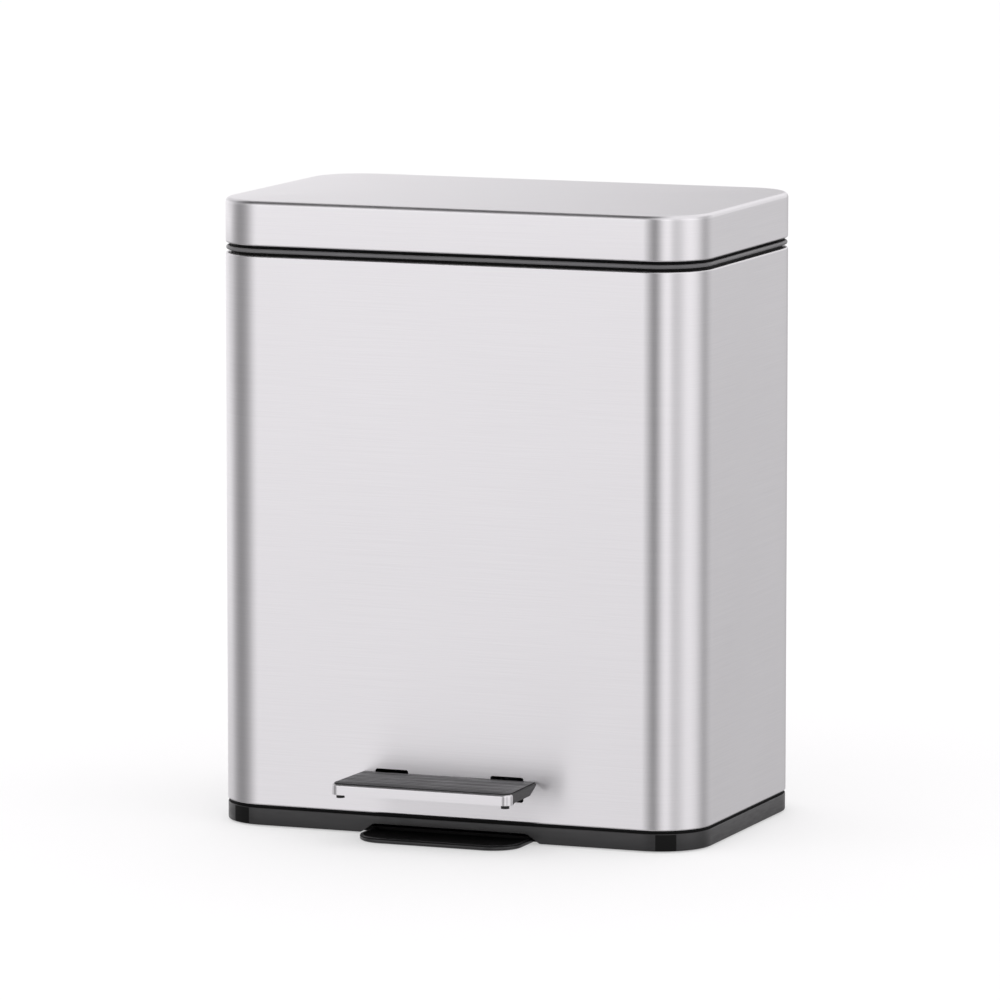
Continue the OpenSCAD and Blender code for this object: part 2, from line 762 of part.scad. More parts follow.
module pedal_rivets() {
  color("gray") at0()
    for (s = [-1, 1], y = RIVET_Y)
      translate([s * arm_x, y, plate_under - arm_t]) {
        cylinder(d = rivet_d, h = plate_t + arm_t, $fn = 32);
        translate([0, 0, plate_t + arm_t]) cylinder(d = rivet_head_d, h = rivet_head_h, $fn = 32);
        translate([0, 0, -1.5]) cylinder(d = rivet_head_d, h = 1.5, $fn = 32);
      }
}

module pivot_bushes() {
  color("white") at0()
    for (s = [-1, 1]) difference() {
      union() {
        xbar(s * arm_x, axle_y, axle_z, bush_r, arm_w);
        for (q = [-1, 1])
          xbar(s * arm_x + q * (arm_w / 2 + 0.75), axle_y, axle_z, bush_r + 1.6, 1.5);
      }
      xbar(s * arm_x, axle_y, axle_z, axle_d / 2 + run_gap, arm_w + 8);
    }
}

module lift_rod() {
  color("silver") at0() difference() {
    union() {
      translate([0, crank_y, foot_z]) cylinder(r = 3, h = rod_len, $fn = 48);
      for (z = [foot_z, crank_z]) xbar(0, crank_y, z, eye_r - 0.6, eye_w);
    }
    xbar(0, crank_y, crank_z, link_pin_d / 2 + run_gap, 20);
    xbar(0, crank_y, foot_z, link_pin_d / 2, 20);
  }
}

module rod_foot_pin() {
  color("gray") at0() xbar(0, crank_y, foot_z, link_pin_d / 2, 2 * (lug_in + lug_t) + 4);
}

module damper_rod() {
  color("silver") at0() difference() {
    translate([damper_x, damper_y, foot_z]) {
      cylinder(d = damper_rod_d, h = damper_z0 + 20 - foot_z, $fn = 48);
      rotate([0, 90, 0]) cylinder(r = 5, h = 7, center = true, $fn = 48);
      translate([0, 0, damper_z0 + 14 - foot_z])
        cylinder(r = damper_r - 1.8 - slide_gap, h = 8);
    }
    xbar(damper_x, damper_y, foot_z, link_pin_d / 2, 20);
  }
}

module damper_foot_pin() {
  color("gray") at0()
    xbar(damper_x, damper_y, foot_z, link_pin_d / 2, arm_w + 3);
}

outer_body();
rim_collar();
base();
foot_pads();
base_screws();
inner_bucket();
bucket_handle();
handle_grip();
lid_bumpers();
hinge_leaf_body_left();
hinge_leaf_body_right();
hinge_pin_left();
hinge_pin_right();
body_hinge_screws();
body_hinge_nuts();
axle();
axle_clips();
damper_cylinder();
damper_bracket();
lid_skin();
lid_liner();
hinge_leaf_lid_left();
hinge_leaf_lid_right();
lid_hinge_screws();
crank_pin();
pedal_plate();
pedal_pad();
pedal_buffers();
lever_arm_left();
lever_arm_right();
lever_crossbar();
pedal_rivets();
pivot_bushes();
lift_rod();
rod_foot_pin();
damper_rod();
damper_foot_pin();
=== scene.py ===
"""Rectangular pedal trash can: detailed meshes, materials, light and camera round the CAD frame."""

import math

import bmesh
import bpy
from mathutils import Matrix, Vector


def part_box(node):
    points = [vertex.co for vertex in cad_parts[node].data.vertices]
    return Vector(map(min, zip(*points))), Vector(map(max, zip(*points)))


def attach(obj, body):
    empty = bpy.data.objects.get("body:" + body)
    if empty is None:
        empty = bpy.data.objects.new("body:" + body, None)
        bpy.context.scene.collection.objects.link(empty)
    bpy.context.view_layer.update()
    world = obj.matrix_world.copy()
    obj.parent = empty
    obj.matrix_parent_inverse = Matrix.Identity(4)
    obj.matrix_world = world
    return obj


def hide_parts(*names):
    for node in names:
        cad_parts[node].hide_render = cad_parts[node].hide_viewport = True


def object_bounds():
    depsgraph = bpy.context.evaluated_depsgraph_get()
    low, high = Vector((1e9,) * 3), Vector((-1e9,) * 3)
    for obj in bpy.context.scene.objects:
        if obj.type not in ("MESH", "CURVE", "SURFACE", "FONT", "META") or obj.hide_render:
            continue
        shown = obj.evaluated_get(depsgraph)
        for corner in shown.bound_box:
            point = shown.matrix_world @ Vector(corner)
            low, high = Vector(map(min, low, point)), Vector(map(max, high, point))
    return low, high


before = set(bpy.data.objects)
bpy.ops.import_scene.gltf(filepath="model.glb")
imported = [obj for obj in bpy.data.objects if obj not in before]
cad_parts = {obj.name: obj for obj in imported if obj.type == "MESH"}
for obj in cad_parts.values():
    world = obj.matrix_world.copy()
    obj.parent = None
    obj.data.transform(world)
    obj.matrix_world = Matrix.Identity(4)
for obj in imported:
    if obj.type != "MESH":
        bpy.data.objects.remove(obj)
cad_low, cad_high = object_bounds()
MM = 0.001
FOLD_ANGLE = 35                        # degrees; edges that turn further stay sharp


# ---------------------------------------------------------------- sizes from the frame

def node_box(name):
    low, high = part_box(name)
    return Vector(low), Vector(high)


body_low, body_high = node_box("outer_body")
lid_low, lid_high = node_box("lid_skin")
arm_boxes = [node_box("lever_arm_left"), node_box("lever_arm_right")]
pedal_low, pedal_high = node_box("pedal_plate")
pad_low, pad_high = node_box("pedal_pad")
axle_low, axle_high = node_box("axle")
BODY_W = body_high.x - body_low.x
BODY_D = body_high.y - body_low.y
BODY_Y = (body_high.y + body_low.y) / 2
FRONT_Y = body_low.y
BACK_Y = body_high.y
STEEL_BOTTOM = body_low.z
STEEL_TOP = body_high.z
LID_BOTTOM = lid_low.z
LID_TOP = lid_high.z
CORNER_R = 43 * MM
SHEET = 0.8 * MM


# ---------------------------------------------------------------- mesh helpers

def make_object(name, bm, body, node):
    """Turns bm into a smooth piece that rides on body, stands for node and fills its slot."""
    bmesh.ops.recalc_face_normals(bm, faces=bm.faces)
    mesh = bpy.data.meshes.new(name)
    bm.to_mesh(mesh)
    bm.free()
    for face in mesh.polygons:
        face.use_smooth = True
    piece = bpy.data.objects.new(name, mesh)
    bpy.context.scene.collection.objects.link(piece)
    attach(piece, body)
    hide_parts(node)
    return piece


def outline(width, depth, radius, steps=24, centre=(0.0, BODY_Y)):
    """Points round a rounded rectangle, with steps to each corner."""
    points = []
    corners = ((1, -1, -90), (1, 1, 0), (-1, 1, 90), (-1, -1, 180))
    for sx, sy, start in corners:
        cx = centre[0] + sx * (width / 2 - radius)
        cy = centre[1] + sy * (depth / 2 - radius)
        for k in range(steps + 1):
            a = math.radians(start + 90 * k / steps)
            points.append((cx + radius * math.cos(a), cy + radius * math.sin(a)))
    return points


def rounded_front(half, radius, centre_y, back, lean, steps):
    """Plan with two round front corners and a straight back, its sides closing in by lean."""
    points = [(half - lean, back)]
    for cx, start in ((half - radius, 0), (radius - half, -90)):
        for k in range(steps + 1):
            a = math.radians(start - 90 * k / steps)
            points.append((cx + radius * math.cos(a), centre_y + radius * math.sin(a)))
    points.append((lean - half, back))
    return points


def arc(cx, cz, radius, start, end, steps):
    """Points on an arc of a profile, angles in degrees."""
    return [
        (cx + radius * math.cos(math.radians(start + (end - start) * k / steps)),
         cz + radius * math.sin(math.radians(start + (end - start) * k / steps)))
        for k in range(steps + 1)
    ]


def loft(bm, loops, closed_profile=False, cap_first=False, cap_last=False):
    """Joins loops of equal length, each a list of 3D points, into rings of quads."""
    rings = [[bm.verts.new(p) for p in loop] for loop in loops]
    pairs = list(zip(rings, rings[1:]))
    if closed_profile:
        pairs.append((rings[-1], rings[0]))
    for a, b in pairs:
        n = len(a)
        for k in range(n):
            bm.faces.new((a[k], a[(k + 1) % n], b[(k + 1) % n], b[k]))
    if cap_first:
        bm.faces.new(rings[0])
    if cap_last:
        bm.faces.new(rings[-1])
    return rings


def body_loop(inset, z, radius):
    return [(x, y, z) for x, y in outline(BODY_W - 2 * inset, BODY_D - 2 * inset, radius)]


def swept_wall(profile):
    """Loops that follow the body outline: profile is a list of (inset, z)."""
    return [body_loop(inset, z, CORNER_R - inset) for inset, z in profile]


def prism(section, low, high, axis, bm=None):
    """Closed solid whose section, given in the other two axes, runs from low to high along axis."""
    if bm is None:
        bm = bmesh.new()
    place = "xyz".index(axis)
    loops = [[(*point[:place], level, *point[place:]) for point in section] for level in (low, high)]
    loft(bm, loops, cap_first=True, cap_last=True)
    bmesh.ops.recalc_face_normals(bm, faces=bm.faces)
    return bm


def round_prism(centre, radius, low, high, axis, steps=6):
    """Closed cylinder along axis."""
    return prism(outline(2 * radius, 2 * radius, radius, steps, centre), low, high, axis)


def slot_cutter(low, high, radius):
    """Closed block with its edges along Y rounded."""
    width, height = high[0] - low[0], high[2] - low[2]
    centre = ((high[0] + low[0]) / 2, (high[2] + low[2]) / 2)
    return prism(outline(width, height, radius, 6, centre), low[1], high[1], "y")


def cut(piece, cutter_bm):
    """Takes the cutter's shape out of a piece for good."""
    mesh = bpy.data.meshes.new("cutter")
    cutter_bm.to_mesh(mesh)
    cutter_bm.free()
    cutter = bpy.data.objects.new("cutter", mesh)
    bpy.context.scene.collection.objects.link(cutter)
    mod = piece.modifiers.new("cut", "BOOLEAN")
    mod.operation = "DIFFERENCE"
    mod.solver = "EXACT"
    mod.object = cutter
    depsgraph = bpy.context.evaluated_depsgraph_get()
    result = bpy.data.meshes.new_from_object(piece.evaluated_get(depsgraph))
    piece.modifiers.remove(mod)
    piece.data = result
    bpy.data.objects.remove(cutter)


def soften(piece, width):
    """Small rounded edges, with normals that keep flat faces flat."""
    bevel = piece.modifiers.new("edges", "BEVEL")
    bevel.width = width
    bevel.segments = 2
    bevel.limit_method = "ANGLE"
    bevel.angle_limit = math.radians(FOLD_ANGLE)
    bevel.harden_normals = True


def shade_by_angle(piece):
    """Smooth shading with sharp edges where faces meet at more than the fold angle."""
    mesh = piece.data
    for face in mesh.polygons:
        face.use_smooth = True
    bm = bmesh.new()
    bm.from_mesh(mesh)
    for edge in bm.edges:
        sharp = len(edge.link_faces) == 2 and edge.calc_face_angle(0) > math.radians(FOLD_ANGLE)
        edge.smooth = not sharp
    bm.to_mesh(mesh)
    bm.free()


# ---------------------------------------------------------------- material helpers

class Nodes:
    """Short way to add and join shader nodes in one tree."""

    def __init__(self, tree):
        self.tree = tree

    def add(self, kind, values=None, **settings):
        node = self.tree.nodes.new(kind)
        for key, value in settings.items():
            setattr(node, key, value)
        for key, value in (values or {}).items():
            if isinstance(value, bpy.types.NodeSocket):
                self.tree.links.new(value, node.inputs[key])
            else:
                node.inputs[key].default_value = value
        return node

    def math(self, operation, a, b=0.0):
        return self.add("ShaderNodeMath", {0: a, 1: b}, operation=operation).outputs[0]

    def remap(self, value, low, high, start=0.0, end=1.0):
        return self.add("ShaderNodeMapRange", {
            "Value": value, "From Min": start, "From Max": end, "To Min": low, "To Max": high,
        }).outputs[0]

    def spread(self, noise, low, high):
        """Stretches the middle part of a noise, where nearly all of it lies, over low to high."""
        return self.remap(noise, low, high, 0.3, 0.7)

    def blend(self, first, second, share):
        """First and second added up, the second with the given share."""
        rest = self.math("MULTIPLY", first, 1 - share)
        return self.math("ADD", rest, self.math("MULTIPLY", second, share))

    def bump(self, height, distance, *normal):
        values = {"Height": height, "Strength": 1.0, "Distance": distance}
        if normal:
            values["Normal"] = normal[0]
        return self.add("ShaderNodeBump", values).outputs[0]

    def noise(self, vector, scale, detail):
        return self.add("ShaderNodeTexNoise", {
            "Vector": vector, "Scale": scale, "Detail": detail, "Roughness": 0.55,
        }).outputs["Fac"]

    def stretched(self, vector, scale):
        return self.add("ShaderNodeMapping", {"Vector": vector, "Scale": scale}).outputs[0]

    def tint(self, value, dark, light):
        mix = self.add("ShaderNodeMix", data_type="RGBA")
        self.tree.links.new(value, mix.inputs["Factor"])
        mix.inputs["A"].default_value = (*dark, 1)
        mix.inputs["B"].default_value = (*light, 1)
        return mix.outputs["Result"]


def new_material(name):
    """A material with a Principled shader, the node helper and object coordinates."""
    material = bpy.data.materials.new(name)
    material.use_nodes = True
    nodes = Nodes(material.node_tree)
    shader = material.node_tree.nodes["Principled BSDF"]
    place = nodes.add("ShaderNodeTexCoord").outputs["Object"]
    return material, nodes, shader, place


def link(nodes, source, shader, socket):
    nodes.tree.links.new(source, shader.inputs[socket])


def steel_material(name, dark, light, rough_low, rough_high):
    """Brushed sheet: fine lines along the grain, faint rolling waves and hardly visible smears."""
    material, nodes, shader, place = new_material(name)
    shader.inputs["Metallic"].default_value = 1.0
    shader.inputs["Anisotropic"].default_value = 0.75
    tangent = nodes.add("ShaderNodeTangent", direction_type="UV_MAP", uv_map="grain")
    link(nodes, tangent.outputs[0], shader, "Tangent")
    grain_uv = nodes.add("ShaderNodeUVMap", uv_map="grain").outputs[0]
    # U runs across the grain and V along it, both in metres
    coarse = nodes.noise(nodes.stretched(grain_uv, (1400, 9, 1)), 1.0, 4.0)
    fine = nodes.noise(nodes.stretched(grain_uv, (4200, 30, 1)), 1.0, 2.0)
    grain = nodes.blend(coarse, fine, 0.4)
    smears = nodes.noise(place, 9.0, 4.0)
    smudge = nodes.remap(smears, -0.025, 0.025)
    rough = nodes.math("ADD", nodes.remap(grain, rough_low, rough_high), smudge)
    link(nodes, rough, shader, "Roughness")
    shade = nodes.blend(grain, smears, 0.2)
    link(nodes, nodes.tint(nodes.spread(shade, 0, 1), dark, light), shader, "Base Color")
    waves = nodes.noise(nodes.stretched(place, (5, 5, 7)), 1.0, 1.0)
    link(nodes, nodes.bump(grain, 0.004 * MM, nodes.bump(waves, 0.25 * MM)), shader, "Normal")
    return material


def moulded_material(name, dark, light, rough, texture=0.02, cell=1800.0, gloss=0.5):
    """Moulded plastic: spark-eroded texture (depth in mm), soft flow marks and a little scuffing."""
    material, nodes, shader, place = new_material(name)
    shader.inputs["Specular IOR Level"].default_value = gloss
    pores = nodes.noise(place, cell, 2.0)
    flow = nodes.noise(nodes.stretched(place, (10, 10, 28)), 1.0, 3.0)
    scuffs = nodes.noise(nodes.stretched(place, (60, 60, 420)), 1.0, 5.0)
    shade = nodes.blend(flow, scuffs, 0.4)
    link(nodes, nodes.tint(nodes.spread(shade, 0, 1), dark, light), shader, "Base Color")
    link(nodes, nodes.spread(scuffs, rough - 0.07, rough + 0.07), shader, "Roughness")
    link(nodes, nodes.bump(pores, texture * MM), shader, "Normal")
    return material


def rubber_material():
    """Matt black rubber with a pale bloom."""
    dark, light = (0.006, 0.006, 0.006), (0.018, 0.018, 0.019)
    return moulded_material("soft_rubber", dark, light, 0.7, texture=0.03, cell=900.0)


def tread_material():
    """Dark textured tread, with worn streaks along its width and a darker front edge."""
    material, nodes, shader, place = new_material("tread_surface")
    streaks = nodes.noise(nodes.stretched(place, (20, 150, 60)), 1.0, 4.0)
    grit = nodes.noise(place, 2600.0, 2.0)
    from_front = nodes.add("ShaderNodeSeparateXYZ", {0: place}).outputs["Y"]
    nosing = nodes.remap(from_front, 0.0, 1.0, pedal_low.y + 2 * MM, pedal_low.y + 24 * MM)
    worn = nodes.math("MULTIPLY", nodes.remap(streaks, 0.22, 0.78, 0.30, 0.72), nosing)
    link(nodes, nodes.tint(worn, (0.028, 0.028, 0.030), (0.185, 0.185, 0.19)), shader, "Base Color")
    link(nodes, nodes.spread(streaks, 0.62, 0.42), shader, "Roughness")
    link(nodes, nodes.bump(grit, 0.03 * MM), shader, "Normal")
    return material


def plated_material(name, dark, light, rough):
    """Zinc-plated or drawn steel: small spangles, handling marks and uneven gloss."""
    material, nodes, shader, place = new_material(name)
    shader.inputs["Metallic"].default_value = 1.0
    spangle = nodes.add("ShaderNodeTexVoronoi", {"Vector": place, "Scale": 700.0}).outputs["Distance"]
    marks = nodes.noise(place, 120.0, 5.0)
    shade = nodes.blend(spangle, marks, 0.6)
    link(nodes, nodes.tint(nodes.remap(shade, 0, 1, 0.2, 0.7), dark, light), shader, "Base Color")
    link(nodes, nodes.spread(marks, rough - 0.08, rough + 0.12), shader, "Roughness")
    link(nodes, nodes.bump(marks, 0.02 * MM), shader, "Normal")
    return material


STEEL = steel_material("brushed_steel_sheet", (0.74, 0.73, 0.745), (0.82, 0.81, 0.825), 0.25, 0.36)
BASE_PLASTIC = moulded_material("base_moulding", (0.009, 0.009, 0.0095), (0.019, 0.0185, 0.0195), 0.36)
# Painted highlight: the black rim plastic lifted to grey so the bead shows its highlight; the ledge gets
# the same grey
BEAD_PLASTIC_PAINTED_HIGHLIGHT = moulded_material("rim_bead_painted_highlight", (0.085, 0.084, 0.087), (0.13, 0.128, 0.132), 0.34)
# Painted shade: near-black plastic with little gloss, laid where shade falls in the rim's grooves, the
# groove under the steel, the recess behind the toe lip and the tongue's dish
PAINTED_SHADE_PLASTIC = moulded_material("painted_shade_plastic", (0.003,) * 3, (0.006,) * 3, 0.6, gloss=0.12)
LINER_PLASTIC = moulded_material("lid_liner_moulding", (0.02, 0.02, 0.021), (0.035, 0.035, 0.036), 0.42)
BUCKET_PLASTIC = moulded_material("bucket_moulding", (0.045, 0.046, 0.05), (0.07, 0.071, 0.076), 0.4)
DAMPER_PLASTIC = moulded_material("damper_moulding", (0.015, 0.015, 0.017), (0.03, 0.03, 0.033), 0.4)
NYLON = moulded_material("nylon_bush", (0.62, 0.61, 0.57), (0.74, 0.73, 0.69), 0.45)
RUBBER = rubber_material()
TREAD = tread_material()
ZINC = plated_material("zinc_plate", (0.42, 0.43, 0.45), (0.62, 0.63, 0.65), 0.38)
PIN_STEEL = plated_material("drawn_pin", (0.55, 0.55, 0.56), (0.72, 0.72, 0.73), 0.25)
WIRE_STEEL = plated_material("bright_wire", (0.6, 0.6, 0.61), (0.78, 0.78, 0.79), 0.22)


def paint(piece, *materials):
    piece.data.materials.clear()
    for material in materials:
        piece.data.materials.append(material)


def grain_map(piece):
    """UV map in metres, with V along the grain: level on the walls and along X on top."""
    mesh = piece.data
    layer = mesh.uv_layers.get("grain") or mesh.uv_layers.new(name="grain")
    for face in mesh.polygons:
        n = face.normal
        for corner in face.loop_indices:
            p = mesh.vertices[mesh.loops[corner].vertex_index].co
            if abs(n.z) > 0.75:
                layer.data[corner].uv = (p.y, p.x)
            elif abs(n.x) > abs(n.y):
                layer.data[corner].uv = (p.z, p.y + p.x)
            else:
                layer.data[corner].uv = (p.z, p.x + p.y)


def finish_sheet(piece):
    """Sharp folds stay sharp, flat panels stay flat and the grain is laid."""
    shade_by_angle(piece)
    grain_map(piece)
    even = piece.modifiers.new("flat_panels", "WEIGHTED_NORMAL")
    even.keep_sharp = True
    even.weight = 100
    return piece


# ---------------------------------------------------------------- steel shell and lid

def shell_profile(z0, z1, bend, bottom_flange, top_flange):
    """Closed section of a sheet wall with a flange turned inward at each end."""
    outer = arc(bend, z0 + bend, bend, 270, 180, 4) + arc(bend, z1 - bend, bend, 180, 90, 4)
    inside = bend - SHEET
    inner = arc(bend, z1 - bend, inside, 90, 180, 3) + arc(bend, z0 + bend, inside, 180, 270, 3)
    top = [(top_flange, z1), (top_flange, z1 - SHEET)]
    bottom = [(bottom_flange, z0 + SHEET), (bottom_flange, z0)]
    return outer + top + inner + bottom


SHEET_BEND = 1.3 * MM
SLOT_SIDE = 4 * MM                     # room beside each lever arm
SLOT_TOP = pad_high.z + 2.6 * MM
SLOT_BOTTOM = SLOT_TOP - 20.1 * MM
HINGE_SCREW_STEP = 13 * MM             # from the middle of a hinge leaf
SCREW_HOLE_R = 2.05 * MM


def build_body():
    """Steel shell with its turned-in ends, the two arm slots and the holes for the hinge screws."""
    foot_flange, top_flange = 5 * MM, 8 * MM
    through = 5 * MM                   # how far each cutter reaches past the sheet
    bm = bmesh.new()
    section = shell_profile(STEEL_BOTTOM, STEEL_TOP, SHEET_BEND, foot_flange, top_flange)
    loft(bm, swept_wall(section), closed_profile=True)
    piece = make_object("body_shell", bm, "can", "outer_body")
    for low, high in arm_boxes:
        cut(piece, slot_cutter((low.x - SLOT_SIDE, FRONT_Y - through, SLOT_BOTTOM),
                               (high.x + SLOT_SIDE, FRONT_Y + through, SLOT_TOP), 2 * MM))
    screw_low, screw_high = node_box("body_hinge_screws")
    screw_z = (screw_low.z + screw_high.z) / 2
    leaf_low, leaf_high = node_box("hinge_leaf_body_right")
    for side in (-1, 1):
        for step in (-HINGE_SCREW_STEP, HINGE_SCREW_STEP):
            centre = (side * (leaf_low.x + leaf_high.x) / 2 + step, screw_z)
            cut(piece, round_prism(centre, SCREW_HOLE_R, BACK_Y - through, BACK_Y + through, "y"))
    paint(piece, STEEL)
    return finish_sheet(piece)


LID_EDGE = 4 * MM                      # bend radius round the top
LID_CROWN = 1.5 * MM                   # rise from the bend to the middle
LID_HEM = 4.8 * MM                     # width of the turned-in lower edge
CROWN_INSETS = [8, 14, 22, 32, 44, 58, 74, 92, 112]   # mm, where loops carry the crown


def top_loop(inset, z):
    """Loop on the lid's top; past the corner radius the corners stay a little round."""
    return body_loop(inset, z, max(CORNER_R - inset, 4 * MM))


def crown_height(inset):
    """Height of the gently crowned top at an inset from the outline."""
    reach = min(1.0, (inset - LID_EDGE) / (BODY_D / 2 - LID_EDGE))
    return LID_TOP - LID_CROWN * (1 - reach) ** 2


def build_lid():
    """Lid sheet: crowned top, bent edge, wall and turned-in hem, all with the sheet's thickness."""
    edge_top = LID_TOP - LID_CROWN
    hem_r = SHEET_BEND
    outer = arc(hem_r, LID_BOTTOM + hem_r, hem_r, 270, 180, 4)
    outer += arc(LID_EDGE, edge_top - LID_EDGE, LID_EDGE, 180, 90, 10)
    inner = arc(LID_EDGE, edge_top - LID_EDGE, LID_EDGE - SHEET, 90, 180, 6)
    inner += arc(hem_r, LID_BOTTOM + hem_r, hem_r - SHEET, 180, 270, 3)
    hem = [(LID_HEM, LID_BOTTOM + SHEET), (LID_HEM, LID_BOTTOM)]
    crown = [i * MM for i in CROWN_INSETS]
    loops = [top_loop(i, crown_height(i) - SHEET) for i in reversed(crown)]
    loops += swept_wall(inner + hem + outer)
    loops += [top_loop(i, crown_height(i)) for i in crown]
    bm = bmesh.new()
    loft(bm, loops, cap_first=True, cap_last=True)
    piece = make_object("lid_shell", bm, "lid", "lid_skin")
    paint(piece, STEEL)
    return finish_sheet(piece)


# ---------------------------------------------------------------- rim collar and bucket

collar_bottom = node_box("rim_collar")[0].z
bucket_low, bucket_high = node_box("inner_bucket")
rod_low, rod_high = node_box("lift_rod")
LEDGE_Z = bucket_high.z - 2.5 * MM
BUCKET_Y = (bucket_low.y + bucket_high.y) / 2
RIM_W = bucket_high.x - bucket_low.x
RIM_D = bucket_high.y - bucket_low.y
WINDOW_W = RIM_W - 6 * MM
WINDOW_D = RIM_D - 6 * MM
WINDOW_R = CORNER_R - 10 * MM


def window_loop(width, depth, radius, z):
    return [(x, y, z) for x, y in outline(width, depth, radius, centre=(0.0, BUCKET_Y))]


def build_collar():
    """Rim between body and lid: a bead between two grooves, a ledge and the bucket's window; the bead is
    painted lighter as a highlight and the grooves near-black as shade.
    """
    neck = 4.4 * MM                    # how far the grooves lie inside the outline
    corner = 0.4 * MM
    bead_reach = 0.4 * MM
    back_wall, under_wall = 7 * MM, 10.6 * MM
    bead_z = (STEEL_TOP + LID_BOTTOM) / 2
    bead_r = (LID_BOTTOM - STEEL_TOP) / 2 - 2.3 * MM
    neck_top = LID_BOTTOM - 0.5 * MM
    profile = [(8.4 * MM, collar_bottom), (8.4 * MM, STEEL_TOP), (neck, STEEL_TOP)]
    profile += [(neck, bead_z - bead_r - corner), (neck - corner, bead_z - bead_r)]
    profile += arc(bead_reach + bead_r, bead_z, bead_r, 270, 90, 14)
    profile += [(neck - corner, bead_z + bead_r), (neck, bead_z + bead_r + corner)]
    profile += [(neck, neck_top), (back_wall, neck_top), (back_wall, LEDGE_Z)]
    window = [window_loop(WINDOW_W, WINDOW_D, WINDOW_R, z) for z in (LEDGE_Z, STEEL_TOP)]
    under = [(under_wall, STEEL_TOP), (under_wall, collar_bottom)]
    bm = bmesh.new()
    loft(bm, swept_wall(profile) + window + swept_wall(under), closed_profile=True)
    piece = make_object("rim_collar_moulding", bm, "can", "rim_collar")
    well, well_half = 17 * MM, 8.5 * MM
    rod_y = (rod_low.y + rod_high.y) / 2
    cut(piece, slot_cutter((-well, rod_y - well_half, collar_bottom - 5 * MM),
                           (well, rod_y + well_half, LEDGE_Z + 20 * MM), 0.5 * MM))
    # Bead and ledge get the grey with the painted highlight; the grooves and all other faces get the
    # near-black painted shade
    paint(piece, BEAD_PLASTIC_PAINTED_HIGHLIGHT, PAINTED_SHADE_PLASTIC)
    for face in piece.data.polygons:
        c = face.center
        # distance from a corner's axis, or from a line a corner radius inside a straight side
        out_x = max(abs(c.x) - (BODY_W / 2 - CORNER_R), 0)
        out_y = max(abs(c.y - BODY_Y) - (BODY_D / 2 - CORNER_R), 0)
        outside_neck = math.hypot(out_x, out_y) > CORNER_R - neck + 0.5 * MM
        on_bead = outside_neck and abs(c.z - bead_z) < bead_r
        on_ledge = abs(c.z - LEDGE_Z) < 0.1 * MM
        face.material_index = 0 if on_bead or on_ledge else 1
    shade_by_angle(piece)
    return piece


def build_bucket():
    """Tapered bucket with a rolled rim, a stepped mouth, a radiused floor and a raised floor panel."""
    wall = 2.2 * MM
    lean = 7 * MM
    rim = 6 * MM
    step_in = 0.9 * MM                 # the mouth is this much wider than the wall below it
    top_z, floor_z = bucket_high.z, bucket_low.z
    mouth_w, mouth_d = RIM_W - 2 * rim, RIM_D - 2 * rim
    mouth_r = WINDOW_R - 3 * MM
    fillet = 14 * MM
    turns = range(7)                   # steps round the fillet at the floor

    def ring(grow, z, extra=0.0):
        share = (top_z - z) / (top_z - floor_z)
        inset = lean * share - grow
        radius = max(mouth_r - inset / 2 - extra, 3 * MM)
        shrink = 2 * inset + 2 * extra
        return window_loop(mouth_w - shrink, mouth_d - shrink, radius, z)

    def fillet_ring(grow, z, turn):
        a = math.radians(90 * turn / turns[-1])
        return ring(grow, z + fillet * (1 - math.cos(a)), fillet * (1 - math.sin(a)))

    bottom = floor_z + wall
    panel = [ring(-wall, bottom + 1.5 * MM, 46 * MM), ring(-wall, bottom + 1.5 * MM, 42 * MM)]
    inside = [ring(-wall, bottom, 40 * MM)] + [fillet_ring(-wall, bottom, turn) for turn in turns]
    mouth = [ring(-wall, top_z - 30 * MM), ring(step_in - wall, top_z - 28.5 * MM)]
    mouth += [ring(step_in - wall, top_z - 1.2 * MM), ring(-0.6 * MM, top_z - 0.2 * MM), ring(0, top_z)]
    lip_z = top_z - 2.5 * MM
    lip = [ring(rim - 0.8 * MM, top_z), ring(rim - 0.2 * MM, top_z - 0.3 * MM)]
    lip += [ring(rim - 0.02 * MM, top_z - 0.9 * MM), ring(rim - 0.05 * MM, lip_z)]
    lip += [ring(rim - 1.4 * MM, lip_z), ring(0.0, lip_z)]
    outside = [ring(0.0, top_z - 26 * MM)] + [fillet_ring(0, floor_z, turn) for turn in reversed(turns)]
    bm = bmesh.new()
    loft(bm, panel + inside + mouth + lip + outside + [ring(0, floor_z, 44 * MM)],
         cap_first=True, cap_last=True)
    piece = make_object("bucket_moulding", bm, "can", "inner_bucket")
    handle_low, handle_high = node_box("bucket_handle")
    eye_z = (handle_low.z + handle_high.z) / 2
    for x in (-mouth_w / 2, mouth_w / 2):
        cut(piece, round_prism((BUCKET_Y, eye_z), 2.05 * MM, x - 8 * MM, x + 8 * MM, "x"))
    paint(piece, BUCKET_PLASTIC)
    shade_by_angle(piece)
    return piece


